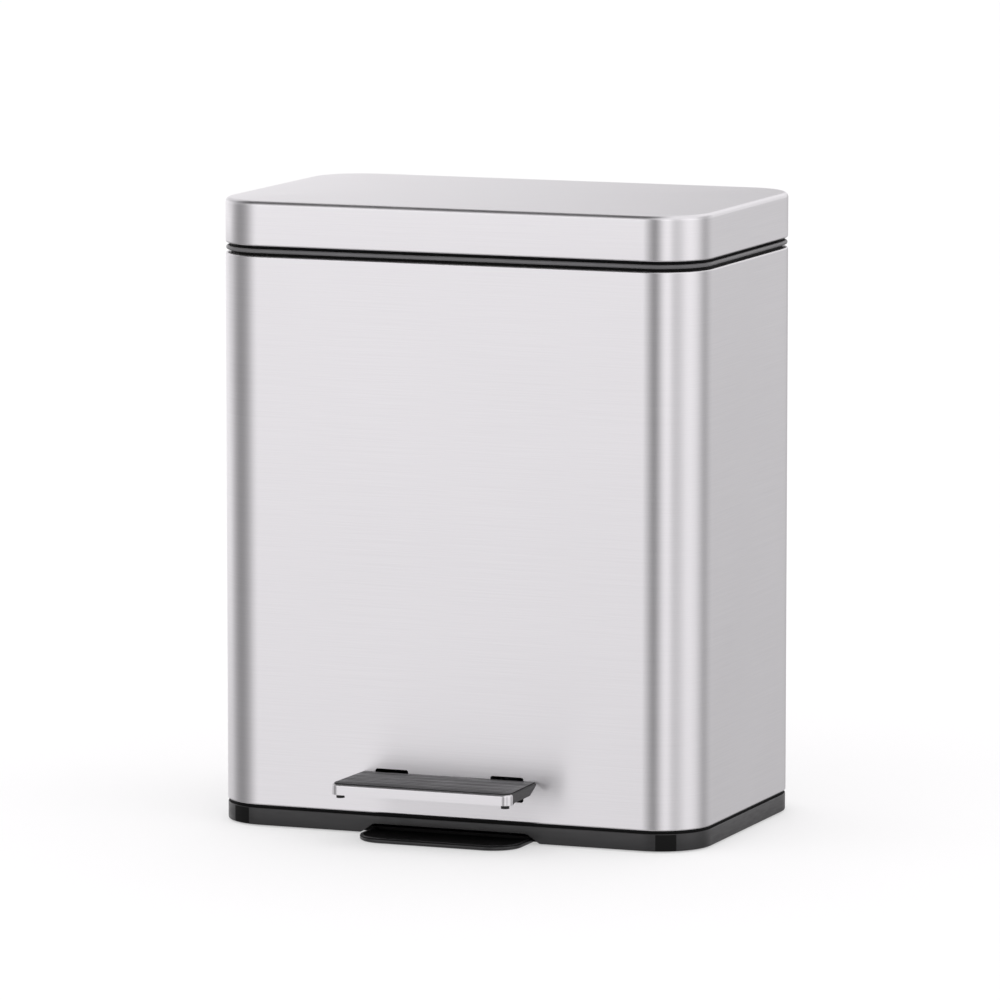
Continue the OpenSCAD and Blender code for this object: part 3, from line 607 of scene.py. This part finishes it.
def build_grip():
    """Grip moulded on the bail, with finger ribs and rounded ends."""
    low, high = node_box("handle_grip")
    cy, cz = (low.y + high.y) / 2, (low.z + high.z) / 2
    full = (high.y - low.y) / 2
    length = high.x - low.x
    bore = 1.95 * MM
    end_round = 2 * MM
    ribs, rib_depth = 9, 0.35 * MM
    stations, sides = 60, 32

    def ring(x, radius):
        turns = [2 * math.pi * k / sides for k in range(sides)]
        return [(x, cy + radius * math.cos(a), cz + radius * math.sin(a)) for a in turns]

    loops = []
    for k in range(stations + 1):
        t = k / stations
        end = min(t, 1 - t) * length
        rounding = math.sqrt(max(0.0, 1 - (1 - min(1.0, end / end_round)) ** 2))
        rib = rib_depth * (1 + math.cos(2 * math.pi * ribs * t)) / 2
        loops.append(ring(low.x + t * length, bore + (full - rib - bore) * (0.55 + 0.45 * rounding)))
    loops += [ring(high.x, bore), ring(low.x, bore)]
    bm = bmesh.new()
    loft(bm, loops, closed_profile=True)
    piece = make_object("bail_grip", bm, "can", "handle_grip")
    paint(piece, LINER_PLASTIC)
    shade_by_angle(piece)
    return piece


# ---------------------------------------------------------------- base

base_low = node_box("base")[0]
GROUND_GAP = 1 * MM
BASE_TOP = STEEL_BOTTOM - 0.6 * MM
FLOOR_TOP = 3.5 * MM
MOUTH_DEPTH = 9.2 * MM
TONGUE_W = 136 * MM
TONGUE_R = 24 * MM


def base_section(groove):
    """Outside of the base from its lower edge to the spigot's foot: skirt, shadow groove and spigot."""
    skirt_in, groove_in, shelf_in, wall_in = 0.3 * MM, 2.2 * MM, 6.2 * MM, 8.7 * MM
    foot_r, head_r = 1.2 * MM, 0.6 * MM
    spigot_top = STEEL_BOTTOM + 17 * MM
    shelf_z = STEEL_BOTTOM - 0.05 * MM
    section = arc(skirt_in + foot_r, GROUND_GAP + foot_r, foot_r, 270, 180, 4)
    section += arc(skirt_in + head_r, BASE_TOP - groove - head_r, head_r, 180, 90, 3)
    section += [(groove_in, BASE_TOP - groove), (groove_in, shelf_z), (shelf_in, shelf_z)]
    section += [(shelf_in, spigot_top - 1 * MM), (shelf_in + 0.4 * MM, spigot_top), (wall_in, spigot_top)]
    return section + [(wall_in, FLOOR_TOP + 2 * MM), (wall_in + 2 * MM, FLOOR_TOP)]


def build_base():
    """Skirt, floor and spigot in one moulding, with a shadow groove below the steel; the groove and the
    recess behind the toe lip are painted near-black as shade.
    """
    groove = 1.6 * MM
    middle = 40 * MM                   # where the flat floor's caps begin
    room = SLOT_SIDE + 2 * MM
    bm = bmesh.new()
    section = [(middle, GROUND_GAP)] + base_section(groove) + [(middle, FLOOR_TOP)]
    loft(bm, swept_wall(section), cap_first=True, cap_last=True)
    piece = make_object("base_moulding", bm, "can", "base")
    for low, high in arm_boxes:
        cut(piece, slot_cutter((low.x - room, FRONT_Y - 1 * MM, SLOT_BOTTOM - 1 * MM),
                               (high.x + room, FRONT_Y + 13 * MM, SLOT_BOTTOM + 29 * MM), 0.5 * MM))
    cut(piece, mouth_cutter())
    paint(piece, BASE_PLASTIC, PAINTED_SHADE_PLASTIC)
    # Painted shade: the groove under the steel and the recess behind the toe lip get the near-black
    # plastic
    for face in piece.data.polygons:
        c = face.center
        in_groove = BASE_TOP - groove - 0.1 * MM < c.z < STEEL_BOTTOM
        behind_lip = FRONT_Y + 1.5 * MM < c.y < FRONT_Y + MOUTH_DEPTH + 0.1 * MM
        face.material_index = 1 if in_groove or (behind_lip and c.z < 9 * MM) else 0
    shade_by_angle(piece)
    for face in piece.data.polygons:   # the underside is shaded flat
        face.use_smooth = face.use_smooth and face.normal.z > -0.999
    return piece


def mouth_cutter():
    """Flared opening over the toe tongue."""
    foot, head, height = 80 * MM, 64 * MM, 8.7 * MM
    right = [(foot, -1 * MM), (foot - 1.8 * MM, 0.0), (head + 2 * MM, height - 0.5 * MM), (head, height)]
    face = [(-foot, -1 * MM)] + right + [(-x, z) for x, z in reversed(right[1:])]
    return prism(face, FRONT_Y - 2 * MM, FRONT_Y + MOUTH_DEPTH, "y")


def tongue_loop(inset, z):
    """Outline of the toe tongue, square at the back where it enters the body."""
    plan = rounded_front(TONGUE_W / 2 - inset, TONGUE_R - inset, base_low.y + TONGUE_R,
                         FRONT_Y + 10 * MM, 0.0, 14)
    return [(x, y, z) for x, y in plan]


def build_tongue():
    """Toe tongue: a rounded lip round a dished floor, the dish painted near-black as the shade under the
    pedal.
    """
    low, high = base_low.z, base_low.z + 4 * MM
    lip = 3.2 * MM
    edge = [(1 * MM, low), (0.2 * MM, low + 0.5 * MM), (0, low + 1 * MM), (0, high - 1.2 * MM)]
    edge += [(0.35 * MM, high - 0.4 * MM), (1.1 * MM, high), (lip - 0.9 * MM, high)]
    dish = [(lip - 0.3 * MM, high - 0.3 * MM), (lip, high - 0.9 * MM), (lip + 0.8 * MM, high - 1.4 * MM)]
    dish += [(14 * MM, high - 1.7 * MM)]
    bm = bmesh.new()
    loft(bm, [tongue_loop(inset, z) for inset, z in edge + dish], cap_first=True, cap_last=True)
    piece = make_object("toe_tongue", bm, "can", "base")
    paint(piece, BASE_PLASTIC, PAINTED_SHADE_PLASTIC)
    # Painted shade: the dish under the pedal gets the near-black plastic
    for face in piece.data.polygons:
        at_dish = high - 2 * MM < face.center.z < high - 0.5 * MM
        face.material_index = 1 if at_dish and face.normal.z > -0.5 else 0
    shade_by_angle(piece)
    return piece


def build_axle_posts():
    """Two posts that carry the pedal axle, each braced by a web to the floor."""
    axle_y = (axle_low.y + axle_high.y) / 2
    axle_z = (axle_low.z + axle_high.z) / 2
    bore = (axle_high.z - axle_low.z) / 2 + 0.05 * MM
    half = 10 * MM                     # half depth of a post, and its head's radius
    thick, web = 5 * MM, 1.25 * MM     # half thickness of a post and of its web
    foot = 3 * MM
    side = [(axle_y - half, foot), (axle_y + half, foot), (axle_y + half, axle_z)]
    side += arc(axle_y, axle_z - 3.2 * MM, half, 15, 165, 10) + [(axle_y - half, axle_z)]
    brace = [(axle_y + 9 * MM, foot), (BACK_Y - 12 * MM, foot), (BACK_Y - 12 * MM, 9 * MM)]
    brace += [(axle_y + 30 * MM, 13 * MM), (axle_y + 9 * MM, 30 * MM)]
    made = []
    for x, name in ((-100 * MM, "left"), (100 * MM, "right")):
        post = make_object("axle_post_" + name, prism(side, x - thick, x + thick, "x"),
                           "can", "base")
        cut(post, round_prism((axle_y, axle_z), bore, x - 2 * thick, x + 2 * thick, "x", 8))
        made += [post, make_object("axle_web_" + name, prism(brace, x - web, x + web, "x"),
                                   "can", "base")]
    for piece in made:
        paint(piece, BASE_PLASTIC)
        shade_by_angle(piece)
        soften(piece, 0.5 * MM)
    return made


# ---------------------------------------------------------------- pedal

PLATE_TOP = pedal_high.z
PLATE_T = 1.2 * MM
PEDAL_R = 7 * MM
PEDAL_HALF = (pedal_high.x - pedal_low.x) / 2
PEDAL_LEAN = 1.5 * MM                  # how much each side closes in at the body
FLANGE_LOW = pedal_low.z


def pedal_loop(inset, z, rear):
    """Outline of the pedal, square at the rear and rounded at the front corners."""
    plan = rounded_front(PEDAL_HALF - inset, PEDAL_R - inset, pedal_low.y + PEDAL_R, rear, PEDAL_LEAN, 10)
    return [(x, y, z) for x, y in plan]


def pedal_solid(profile, rear):
    """Closed solid that follows the pedal's outline: profile is a list of (inset, z)."""
    bm = bmesh.new()
    loft(bm, [pedal_loop(inset, z, rear) for inset, z in profile], cap_first=True, cap_last=True)
    bmesh.ops.recalc_face_normals(bm, faces=bm.faces)
    return bm


def build_pedal_plate():
    """Folded plate: top, deep front flange and side flanges cut away towards the body."""
    rear = pedal_high.y
    bend = 1.6 * MM
    past = 5 * MM                      # how far the cutters reach past the plate
    outer = [(0, FLANGE_LOW), (0, PLATE_TOP - bend)] + arc(bend, PLATE_TOP - bend, bend, 170, 90, 6)
    inner = [(PLATE_T, FLANGE_LOW - 2 * MM), (PLATE_T, PLATE_TOP - bend)]
    inner += arc(bend, PLATE_TOP - bend, bend - PLATE_T, 170, 90, 3)
    solid = pedal_solid(outer, rear)
    piece = make_object("pedal_plate_folded", solid, "pedal", "pedal_plate")
    cut(piece, pedal_solid(inner, rear + past))
    start = pedal_low.y + PEDAL_R
    under = PLATE_TOP - PLATE_T
    side_z = FLANGE_LOW + 1 * MM
    wedge = [(start, FLANGE_LOW), (start + 4 * MM, side_z), (rear - 15 * MM, side_z)]
    wedge += [(rear - 0.5 * MM, under), (rear + past, under)]
    wedge += [(rear + past, FLANGE_LOW - 10 * MM), (start, FLANGE_LOW - 10 * MM)]
    cut(piece, prism(wedge, -PEDAL_HALF - past, PEDAL_HALF + past, "x"))
    paint(piece, STEEL, BASE_PLASTIC)
    for face in piece.data.polygons:
        on_side = abs(face.center.x) > PEDAL_HALF - PEDAL_LEAN - bend and face.center.y > start
        face.material_index = 1 if on_side else 0
    return finish_sheet(piece)


def tread_grooves(ends):
    """Cutter for the shallow grooves along the tread's width."""
    top = pad_high.z
    bm = bmesh.new()
    for k in range(1, 10):
        y = pedal_low.y + k * 6 * MM
        section = [(y, top - 0.35 * MM), (y + 1.0 * MM, top - 0.35 * MM)]
        section += [(y + 1.3 * MM, top + 1 * MM), (y - 0.3 * MM, top + 1 * MM)]
        prism(section, -ends, ends, "x", bm)
    return bm


def build_pedal_pad():
    """Tread on the pedal: a thin grooved moulding with rounded edges and holes over the rivets."""
    edge = 0.4 * MM
    top, bottom = pad_high.z, pad_low.z
    margin = PEDAL_HALF - (pad_high.x - pad_low.x) / 2
    ends = PEDAL_HALF - 8 * MM
    profile = [(margin, bottom), (margin, top - edge)]
    profile += arc(margin + edge, top - edge, edge, 150, 90, 3)
    piece = make_object("pedal_tread", pedal_solid(profile, pad_high.y), "pedal", "pedal_pad")
    cut(piece, tread_grooves(ends))
    rivet_low, rivet_high = node_box("pedal_rivets")
    head_r, hole_r = 3.5 * MM, 3.7 * MM
    head_top = rivet_high.z + 0.02 * MM
    for low, high in arm_boxes:
        for y in (rivet_low.y + head_r, rivet_high.y - head_r):
            centre = ((low.x + high.x) / 2, y)
            cut(piece, round_prism(centre, hole_r, bottom - 1 * MM, head_top, "z", 8))
    paint(piece, TREAD, RUBBER)
    for face in piece.data.polygons:
        past_grooves = max(abs(face.center.x) - ends, pedal_low.y + 5 * MM - face.center.y) > 0
        face.material_index = 1 if past_grooves and abs(face.normal.z) < 0.7 else 0
    shade_by_angle(piece)
    return piece


# ---------------------------------------------------------------- CAD pieces kept as they are

def dress_node(name, material, bevel):
    """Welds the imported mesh, rounds its edges by bevel (mm) and gives it its material."""
    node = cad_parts[name]
    mesh = node.data
    for face in mesh.polygons:
        face.use_smooth = True
    if mesh.has_custom_normals:
        mesh.attributes.remove(mesh.attributes["custom_normal"])
    paint(node, material)
    weld = node.modifiers.new("weld", "WELD")
    weld.merge_threshold = 0.005 * MM
    soften(node, bevel * MM)


# (node, material, edge radius in mm)
KEPT_NODES = [
    ("foot_pads", RUBBER, 0.5), ("base_screws", ZINC, 0.2), ("bucket_handle", WIRE_STEEL, 0.2),
    ("lid_bumpers", RUBBER, 0.4),
    ("hinge_leaf_body_left", ZINC, 0.25), ("hinge_leaf_body_right", ZINC, 0.25),
    ("hinge_leaf_lid_left", ZINC, 0.25), ("hinge_leaf_lid_right", ZINC, 0.25),
    ("hinge_pin_left", PIN_STEEL, 0.25), ("hinge_pin_right", PIN_STEEL, 0.25),
    ("body_hinge_screws", PIN_STEEL, 0.15), ("body_hinge_nuts", ZINC, 0.2),
    ("axle", PIN_STEEL, 0.4), ("axle_clips", ZINC, 0.15),
    ("damper_cylinder", DAMPER_PLASTIC, 0.5), ("damper_bracket", ZINC, 0.25),
    ("lid_liner", LINER_PLASTIC, 0.35), ("lid_hinge_screws", PIN_STEEL, 0.15),
    ("crank_pin", PIN_STEEL, 0.25), ("pedal_buffers", RUBBER, 0.5),
    ("lever_arm_left", ZINC, 0.25), ("lever_arm_right", ZINC, 0.25), ("lever_crossbar", ZINC, 0.25),
    ("pedal_rivets", PIN_STEEL, 0.2), ("pivot_bushes", NYLON, 0.25),
    ("lift_rod", WIRE_STEEL, 0.25), ("rod_foot_pin", PIN_STEEL, 0.25),
    ("damper_rod", PIN_STEEL, 0.25), ("damper_foot_pin", PIN_STEEL, 0.25),
]


# ---------------------------------------------------------------- floor, light and camera

def build_floor():
    """Plain pale floor, clear from below and not mirrored, so the steel shows only the studio."""
    bm = bmesh.new()
    bmesh.ops.create_grid(bm, x_segments=2, y_segments=2, size=12.0)
    mesh = bpy.data.meshes.new("floor")
    bm.to_mesh(mesh)
    bm.free()
    floor = bpy.data.objects.new("floor", mesh)
    bpy.context.scene.collection.objects.link(floor)
    material, nodes, shader, _ = new_material("studio_floor")
    shader.inputs["Base Color"].default_value = (0.5, 0.5, 0.5, 1)
    shader.inputs["Emission Color"].default_value = (1, 1, 1, 1)
    shader.inputs["Emission Strength"].default_value = 0.46
    shader.inputs["Roughness"].default_value = 0.9
    shader.inputs["Specular IOR Level"].default_value = 0.1
    seen_from_below = nodes.add("ShaderNodeNewGeometry").outputs["Backfacing"]
    clear = nodes.add("ShaderNodeBsdfTransparent").outputs[0]
    mix = nodes.add("ShaderNodeMixShader", {0: seen_from_below, 1: shader.outputs[0], 2: clear})
    nodes.tree.links.new(mix.outputs[0], nodes.tree.nodes["Material Output"].inputs["Surface"])
    paint(floor, material)
    floor.visible_glossy = False


# Radiance of the studio's walls, by azimuth in degrees from -Y towards +X
STUDIO_RING = [
    (-180, 0.48), (-161, 0.46), (-156, 0.92), (-136, 0.86), (-114, 0.92), (-99, 0.70), (-88, 0.46),
    (-70, 0.31), (-51, 0.50), (-43, 0.74), (-34, 1.00), (-22, 1.16), (-16, 0.94), (-5, 0.55),
    (3, 0.28), (9, 0.28), (16, 0.62), (23, 0.97), (31, 1.17), (37, 1.10), (43, 0.84), (50, 0.73),
    (60, 0.80), (75, 1.07), (91, 1.04), (105, 0.82), (117, 0.54), (127, 0.47), (140, 0.60),
    (158, 0.65), (172, 0.56),
]
# Factor on the walls, by elevation in degrees
WALL_FACTOR = [
    (-90, 0.0), (-46, 0.0), (-26, 0.10), (-8, 1.0), (3, 1.55), (11, 1.35), (21, 0.86), (31, 0.6),
    (44, 0.0), (90, 0.0),
]
# Even radiance that takes over from the walls towards the floor and the ceiling, by elevation
FAR_LIGHT = [(-90, 0.62), (-50, 0.60), (-31, 0.36), (-16, 0.0), (20, 0.0), (42, 1.0), (90, 1.05)]
RADIANCE_SPAN = 2.0                    # a colour ramp holds 0 to 1, so radiances are divided by this
# Soft round shapes: (azimuth, elevation), half angles where they begin and are full, radiance
BACK_BOX = ((176, 27), (25, 11), 1.15)
DARK_CARD = ((-62, 58), (43, 23), 0.08)
MATT_LIGHT = 1.12                      # even light that reaches matt surfaces from all round
BACKDROP = 1.0                         # what the camera sees behind the floor


def sky_direction(azimuth, elevation):
    """Unit vector towards a place in the studio, angles in degrees."""
    a, e = math.radians(azimuth), math.radians(elevation)
    return (math.sin(a) * math.cos(e), -math.cos(a) * math.cos(e), math.sin(e))


def ramp(nodes, value, stops, low, high, curve="CARDINAL"):
    """Colour ramp through (position, value) stops, read as a number."""
    node = nodes.add("ShaderNodeValToRGB")
    nodes.tree.links.new(nodes.remap(value, 0, 1, low, high), node.inputs[0])
    node.color_ramp.interpolation = curve
    marks = node.color_ramp.elements
    while len(marks) < len(stops):
        marks.new(0.5)
    for mark, (position, level) in zip(marks, stops):
        mark.position = (position - low) / (high - low)
        mark.color = (level / RADIANCE_SPAN,) * 3 + (1,)
    return nodes.math("MULTIPLY", node.outputs[0], RADIANCE_SPAN)


def choose(nodes, factor, if_not, if_so):
    """One number or another, by a factor from 0 to 1."""
    mix = nodes.add("ShaderNodeMix", data_type="FLOAT")
    nodes.tree.links.new(factor, mix.inputs["Factor"])
    for socket, value in (("A", if_not), ("B", if_so)):
        if isinstance(value, bpy.types.NodeSocket):
            nodes.tree.links.new(value, mix.inputs[socket])
        else:
            mix.inputs[socket].default_value = value
    return mix.outputs["Result"]


def soft_shape(nodes, direction, studio, place, edge, radiance):
    """Lays a round soft-edged shape of one brightness over the studio."""
    toward = nodes.add("ShaderNodeVectorMath", {0: direction}, operation="DOT_PRODUCT")
    toward.inputs[1].default_value = sky_direction(*place)
    cover = nodes.add("ShaderNodeMapRange", {
        "Value": toward.outputs["Value"],
        "From Min": math.cos(math.radians(edge[0])),
        "From Max": math.cos(math.radians(edge[1])),
    }, interpolation_type="SMOOTHSTEP").outputs[0]
    return choose(nodes, cover, studio, radiance)


def build_world():
    """Studio: walls of uneven brightness for the steel, an even dome for matt surfaces, white behind."""
    world = bpy.data.worlds.new("studio")
    bpy.context.scene.world = world
    world.use_nodes = True
    nodes = Nodes(world.node_tree)
    background = world.node_tree.nodes["Background"]
    direction = nodes.add("ShaderNodeTexCoord").outputs["Generated"]
    parts = nodes.add("ShaderNodeSeparateXYZ", {0: direction})
    degrees = 180 / math.pi
    to_front = nodes.math("MULTIPLY", parts.outputs["Y"], -1.0)
    azimuth = nodes.math("ARCTAN2", parts.outputs["X"], to_front)
    azimuth = nodes.math("MULTIPLY", azimuth, degrees)
    elevation = nodes.math("MULTIPLY", nodes.math("ARCSINE", parts.outputs["Z"]), degrees)
    ring = ramp(nodes, azimuth, STUDIO_RING, -180, 180)
    walls = nodes.math("MULTIPLY", ring, ramp(nodes, elevation, WALL_FACTOR, -90, 90, "LINEAR"))
    studio = nodes.math("ADD", walls, ramp(nodes, elevation, FAR_LIGHT, -90, 90, "LINEAR"))
    for shape in (DARK_CARD, BACK_BOX):
        studio = soft_shape(nodes, direction, studio, *shape)
    light_path = nodes.add("ShaderNodeLightPath")
    strength = choose(nodes, light_path.outputs["Is Diffuse Ray"], studio, MATT_LIGHT)
    strength = choose(nodes, light_path.outputs["Is Camera Ray"], strength, BACKDROP)
    nodes.tree.links.new(strength, background.inputs["Strength"])
    background.inputs["Color"].default_value = (1.0, 0.985, 1.0, 1)


def build_softbox():
    """Large lamp over the front left, for the soft shadow on the floor. Metal doesn't mirror it."""
    place, target = Vector((-0.8, -1.8, 2.6)), Vector((0, 0, 0.2))
    data = bpy.data.lights.new("top_softbox", "AREA")
    data.shape = "RECTANGLE"
    data.size, data.size_y = 2.4, 1.6
    data.energy = 6
    lamp = bpy.data.objects.new("top_softbox", data)
    bpy.context.scene.collection.objects.link(lamp)
    lamp.location = place
    lamp.rotation_euler = (target - place).to_track_quat("-Z", "Y").to_euler()
    lamp.visible_glossy = False
    lamp.visible_camera = False


def build_camera():
    """Long lens from the front right, looking slightly down."""
    yaw, pitch = math.radians(21.39), math.radians(7.66)
    distance = 6.421
    aim_left, aim_up = 6.16 * MM, 5.07 * MM
    level = Vector((-math.sin(yaw), math.cos(yaw), 0))
    right = Vector((math.cos(yaw), math.sin(yaw), 0))
    forward = math.cos(pitch) * level - Vector((0, 0, math.sin(pitch)))
    up = right.cross(forward)
    data = bpy.data.cameras.new("camera")
    data.sensor_width = 36
    data.lens = 288.3
    data.clip_start, data.clip_end = 0.1, 50
    camera = bpy.data.objects.new("camera", data)
    bpy.context.scene.collection.objects.link(camera)
    aim = Vector((0, BODY_Y, cad_high.z / 2 - 1.5 * MM)) - aim_left * right + aim_up * up
    camera.location = aim - distance * forward
    camera.rotation_euler = forward.to_track_quat("-Z", "Y").to_euler()
    bpy.context.scene.camera = camera


# ---------------------------------------------------------------- everything put together

build_body()
build_lid()
build_collar()
build_bucket()
build_grip()
build_base()
build_tongue()
build_axle_posts()
build_pedal_plate()
build_pedal_pad()
for node_name, node_material, node_bevel in KEPT_NODES:
    dress_node(node_name, node_material, node_bevel)
build_floor()
build_world()
build_softbox()
build_camera()
bpy.context.scene.view_settings.view_transform = "Standard"
